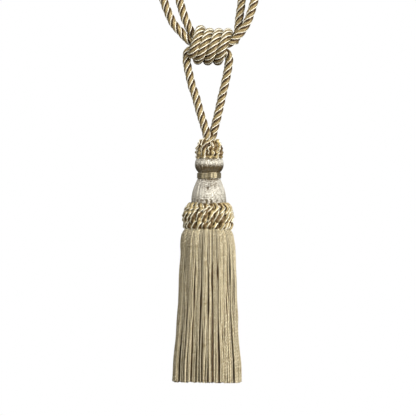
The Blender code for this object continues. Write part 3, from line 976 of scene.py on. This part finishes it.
def crown():
    """Short loops of cord side by side round the rope ends."""
    chance = random.Random(SEED)
    skin = Skin()
    pitch = 360.0 / CROWN_LOOPS
    foot = CROWN_LOOP[0][1]
    height = CROWN_LOOP[4][1] - foot
    for index in range(CROWN_LOOPS):
        for inset, beside, scale in ((0.0, 0.0, CROWN_SCALE), (CROWN_INSET, 0.5, CROWN_INSET_SCALE)):
            strayed = index + beside + chance.uniform(-CROWN_STRAY, CROWN_STRAY)
            rise = chance.uniform(*CROWN_RISES)
            tilt = pitch * chance.uniform(*CROWN_TILTS)
            loop = []
            for row, (radius, z) in enumerate(CROWN_LOOP):
                share = (z - foot) / height
                wave = CROWN_WAVE if row % 2 else -CROWN_WAVE
                loop.append((radius, z + rise * share, tilt * share + wave))
            azimuth = CROWN_FIRST_AZIMUTH + pitch * strayed
            depth = chance.uniform(*CROWN_DEPTHS) - inset
            turn = chance.uniform(-CROWN_TURNS, CROWN_TURNS)
            # Painted shade: the inset loops, which lie deeper, are coloured darker.
            shade = 0.65 + 0.35 * chance.random() if inset == 0.0 else 0.35
            looped_cord(skin, loop, azimuth, scale, depth, turn, shade, *CROWN_LAY)
    ring = []
    for index in range(CIRCLE_POINTS + 1):
        ring.append(around(CROWN_RING_RADIUS, 360.0 / CIRCLE_POINTS * index, CROWN_RING_Z))
    add_cord(skin, ring, RING_THREAD, lead=6.0, shade=0.9)
    make_piece("crown_loops", skin, CORD_SATIN, "crown_ruff")
    sweep = Skin()
    route = [place(*point) for point in CROWN_SWEEP]
    points = even_steps(route, ROPE_RING_STEP * MM)
    add_cord(sweep, points, CORD, lead=34.0, scale=0.95, start=0.4, shade=0.8, flank=-1.0)
    make_piece("crown_sweep", sweep, ROPE_SATIN, "crown_ruff")
    backs = Skin()
    add_lathe(backs, CROWN_CORE, segments=40)
    make_piece("crown_core", backs, CROWN_SHADED_BACKS, "crown_ruff", sharp_angle=40.0)


crown()


# ---- head ----


def wave_sum(chance, lowest, highest, count):
    """A function of azimuth that ripples irregularly, from about -1 to 1."""
    terms = []
    for _ in range(count):
        terms.append((chance.randint(lowest, highest), chance.uniform(0.0, tau)))
    weight = 1.0 / sqrt(count)

    def ripple(azimuth, shift=0.0):
        turn = radians(azimuth)
        return weight * sum(sin(n * turn + phase + shift) for n, phase in terms)

    return ripple


def head():
    """The floss head: a bead, a waist and a bell, ridged by bundles of fibre."""
    chance = random.Random(SEED + 1)
    bundles = wave_sum(chance, *BUNDLES)
    fibres = wave_sum(chance, *FIBRES)
    tongues = wave_sum(chance, *TONGUES)

    def radius_at(radius, azimuth, z):
        drift = FIBRE_DRIFT * (z - HEAD_TOP)
        reach = radius + BUNDLE_RELIEF * bundles(azimuth, drift)
        reach += FIBRE_RELIEF * fibres(azimuth, drift)
        # Some bundles stay proud of the tuck.
        tuck = max(0.0, min(1.0, (TUCK_START - z) / TUCK_FALL))
        reach -= tuck * max(0.0, 0.3 + 1.2 * tongues(azimuth)) * TUCK_DEPTH
        side = (azimuth + 180.0) % 360.0 - 180.0 - NICK_AZIMUTH
        nick = exp(-((side / NICK_WIDTH) ** 2) - ((z - NICK_Z) / NICK_HEIGHT) ** 2)
        return reach - NICK_DEPTH * nick

    rows = [Vector((radius, 0.0, z)) for radius, z in HEAD_PROFILE]
    rows = even_steps(rows, HEAD_ROW_STEP)
    skin = Skin()
    add_lathe(skin, [(row.x, row.z) for row in rows], HEAD_SEGMENTS, radius_at)
    make_piece("floss_head", skin, FLOSS, "head_floss", sharp_angle=80.0)


head()


def whipping():
    """Thread wound round the waist, over the uneven bundles beneath it."""
    lumps = wave_sum(random.Random(SEED + 2), *WHIPPING_LUMPS)
    count = WHIPPING_TURNS * CIRCLE_POINTS
    route = []
    for index in range(count + 1):
        azimuth = 360.0 * index / CIRCLE_POINTS
        z = WHIPPING_TOP + (WHIPPING_BOTTOM - WHIPPING_TOP) * (index / count)
        route.append(around(WHIPPING_RADIUS + WHIPPING_RELIEF * lumps(azimuth), azimuth, z))
    skin = Skin()
    add_cord(skin, route, THREAD, lead=60.0)
    make_piece("whipping_turns", skin, GLOSSY_THREAD, "neck_whipping")


whipping()


# ---- collar ----


def collar():
    """Four rows of looped cord, in columns, over the top of the skirt's heading."""
    chance = random.Random(SEED + 3)
    pitch = 360.0 / COLLAR_LOOPS
    for name, loop, scale, first_turn, slope in COLLAR_ROWS:
        skin = Skin()
        leaned = [(radius, z, lean * pitch) for radius, z, lean in loop]
        for index in range(COLLAR_LOOPS):
            azimuth = pitch * (index + chance.uniform(-COLLAR_STRAY, COLLAR_STRAY))
            rightward = sin(radians(azimuth))
            depth = chance.uniform(*COLLAR_DEPTHS) - COLLAR_SHIFT * rightward
            depth -= slope * max(0.0, -rightward)
            turn = first_turn + chance.uniform(-COLLAR_TURNS, COLLAR_TURNS)
            shade = chance.random()
            looped_cord(skin, leaned, azimuth, scale, depth, turn, shade, *COLLAR_LAY)
        make_piece(name, skin, CORD_SATIN, "collar_ruff")
    backs = Skin()
    add_lathe(backs, COLLAR_CORE, segments=60)
    make_piece("collar_core", backs, COLLAR_SHADED_BACKS, "collar_ruff", sharp_angle=40.0)


collar()


# ---- skirt ----


def outline_radius(z):
    """The skirt's radius at a height, read straight between the rows of SKIRT_OUTLINE."""
    for (upper, wide), (lower, wider) in zip(SKIRT_OUTLINE, SKIRT_OUTLINE[1:]):
        if z >= lower:
            return wide + (wider - wide) * (upper - z) / (upper - lower)
    return SKIRT_OUTLINE[-1][1]


def all_partings(chance):
    """The partings at the front, more like them round the sides and back, and fine ones all round."""
    partings = list(FRONT_PARTINGS)
    for index in range(FINE_PARTINGS):
        where = 360.0 * (index + chance.uniform(-FINE_STRAY, FINE_STRAY)) / FINE_PARTINGS
        partings.append((where, chance.uniform(*FINE_STARTS), chance.uniform(*FINE_WIDTHS)))
    for index in range(SLITS):
        start = chance.uniform(*SLIT_STARTS)
        end = start - chance.uniform(*SLIT_LENGTHS)
        partings.append((chance.uniform(0.0, 360.0), start, chance.uniform(*SLIT_WIDTHS), end))
    azimuth = FRONT_PARTINGS[-1][0]
    last = FRONT_PARTINGS[0][0] + 360.0
    while True:
        azimuth += chance.uniform(*BACK_SPACING)
        if azimuth > last - BACK_MARGIN:
            return partings
        partings.append((azimuth, chance.uniform(*BACK_STARTS), chance.uniform(*BACK_WIDTHS)))


def parted(azimuth, z, partings):
    """How far a yarn moves sideways for the partings beside it, in degrees, and how far inwards.

    Only a slit has a fourth value, the z at which it closes again.
    """
    push = 0.0
    sink = 0.0
    for where, start, width, *closed in partings:
        if z >= start or (closed and z <= closed[0]):
            continue
        off = (azimuth - where + 180.0) % 360.0 - 180.0
        if abs(off) > 3 * PARTING_REACH:
            continue
        if closed:
            opened = sin(pi * (start - z) / (start - closed[0]))
        else:
            fall = start - HEM
            opened = ((start - z) / fall) ** PARTING_CURVE * fall / PARTING_FALL
            opened = min(1.0, opened + PARTING_CLEFT)
        near = exp(-((off / PARTING_REACH) ** 2))
        push += copysign(PARTING_PUSH * width * opened * near, off)
        sink += opened * near ** 3
    return push, min(1.0, sink)


def yarn_route(azimuth, share, partings, chance, rows, give):
    """Points down one yarn, from under the collar to the hem.

    share is the ring's share of the outline's radius, and give, 0 to 1, how freely its yarns move.
    """
    phases = [chance.uniform(0.0, tau) for _ in SWAYS + RIPPLES]
    inset = chance.uniform(0.0, YARN_INSET)
    end = HEM + chance.uniform(0.0, UNEVEN_HEM)
    leftward = max(0.0, -sin(radians(azimuth)))
    route = []
    for row in range(rows + 1):
        fall = row / rows
        z = STRAND_ROOT + (end - STRAND_ROOT) * fall
        push, sink = parted(azimuth, z, partings)
        waves = zip(SWAYS + RIPPLES, phases)
        moves = [size * sin(rate * fall + phase) for (size, rate), phase in waves]
        sway = moves[0] + moves[1]
        ripple = moves[2] + moves[3]
        radius = share * outline_radius(z) - YARN_RADIUS
        # Yarns spread to their own depths over the first quarter of their fall.
        radius -= min(1.0, 4 * fall) * (inset + YARN_SLACK + ripple) + give * PARTING_SINK * sink
        bulge = exp(-(((z - SHOULDER_Z) / SHOULDER_HEIGHT) ** 2))
        radius += share * SHOULDER_BULGE * leftward * bulge
        route.append(around(radius, azimuth + give * push + fall * give * sway, z))
    return route


def skirt():
    """Twisted yarns in rings, parted into locks that open towards the hem."""
    chance = random.Random(SEED + 4)
    partings = all_partings(chance)
    per_piece = OUTER_YARNS // OUTER_PIECES
    for part in range(OUTER_PIECES):
        skin = Skin()
        for index in range(part * per_piece, (part + 1) * per_piece):
            azimuth = 360.0 * (index + chance.uniform(-OUTER_STRAY, OUTER_STRAY)) / OUTER_YARNS
            route = yarn_route(azimuth, 1.0, partings, chance, OUTER_ROWS, 1.0)
            points = even_steps(route, OUTER_RING_STEP * MM, 4)
            lead = YARN_LEAD * chance.uniform(*YARN_LEAD_SHARES)
            phase = chance.uniform(0.0, pi)
            shade = chance.uniform(0.0, YARN_SHADES)
            growth = YARN_THICKENS / (len(points) - 1)
            scales = [min(1.0, YARN_CROWDED + growth * ring) for ring in range(len(points))]
            add_cord(skin, points, OUTER_YARN, lead, scales, phase, shade, mixed=PLY_SHADE)
        make_piece(f"skirt_yarns_{part + 1}", skin, OUTER_SPUN, "skirt")
    skin = Skin()
    for count, share, give in INNER_RINGS:
        for index in range(count):
            azimuth = 360.0 * (index + chance.uniform(-INNER_STRAY, INNER_STRAY)) / count
            route = yarn_route(azimuth, share, partings, chance, INNER_ROWS, give)
            points = even_steps(route, INNER_RING_STEP * MM, 3)
            phase = chance.uniform(0, 3)
            add_cord(skin, points, INNER_YARN, INNER_LEAD, 1.0, phase, chance.random())
    make_piece("skirt_inside", skin, INNER_SHADED_SPUN, "skirt")


skirt()


# ---- floor and light ----


def add_floor():
    """A round pale floor below the tieback."""
    mesh = bpy.data.meshes.new("floor")
    rim = []
    for index in range(FLOOR_CORNERS):
        turn = tau * index / FLOOR_CORNERS
        rim.append((FLOOR_RADIUS * cos(turn), FLOOR_RADIUS * sin(turn), FLOOR_Z))
    mesh.from_pydata(rim, [], [tuple(range(FLOOR_CORNERS))])
    m = Nodes(bpy.data.materials.new("floor"))
    m.set(Base_Color=(0.75, 0.74, 0.72, 1.0), Roughness=0.8)
    mesh.materials.append(m.owner)
    add_object("floor", mesh)


def add_light(name, location, aim, size, power, colour):
    """A soft square light that faces the aim."""
    data = bpy.data.lights.new(name, "AREA")
    data.size = size
    data.energy = power
    data.color = colour
    light = add_object(name, data)
    light.location = location
    light.rotation_mode = "QUATERNION"
    light.rotation_quaternion = (Vector(aim) - Vector(location)).to_track_quat("-Z", "Y")


def add_world():
    """A white backdrop, and a dimmer surround that is brighter above than below."""
    w = Nodes(bpy.data.worlds.new("studio"), "Background")
    scene.world = w.owner
    direction = w.add("ShaderNodeTexCoord").outputs["Generated"]
    up = w.add("ShaderNodeSeparateXYZ", {0: direction}).outputs[2]
    ramp = w.add("ShaderNodeValToRGB", {0: w.spread(up, -1.0, 1.0)})
    elements = ramp.color_ramp.elements
    while len(elements) < len(SURROUND):
        elements.new(0.5)
    for element, (height, brightness) in zip(elements, SURROUND):
        element.position = 0.5 + 0.5 * height
        element.color = (brightness, brightness, brightness, 1.0)
    w.link(ramp.outputs[0], "Color")
    w.set(Strength=SURROUND_STRENGTH)
    backdrop = w.add("ShaderNodeBackground", {"Color": (1.0, 1.0, 1.0, 1.0), "Strength": 1.0})
    seen = w.add("ShaderNodeLightPath").outputs["Is Camera Ray"]
    inputs = {0: seen, 1: w.shader.outputs[0], 2: backdrop.outputs[0]}
    mixed = w.add("ShaderNodeMixShader", inputs).outputs[0]
    w.tree.links.new(mixed, w.tree.nodes["World Output"].inputs[0])


add_floor()
for light_row in LIGHTS:
    add_light(*light_row)
add_world()
scene.view_settings.view_transform = "Standard"
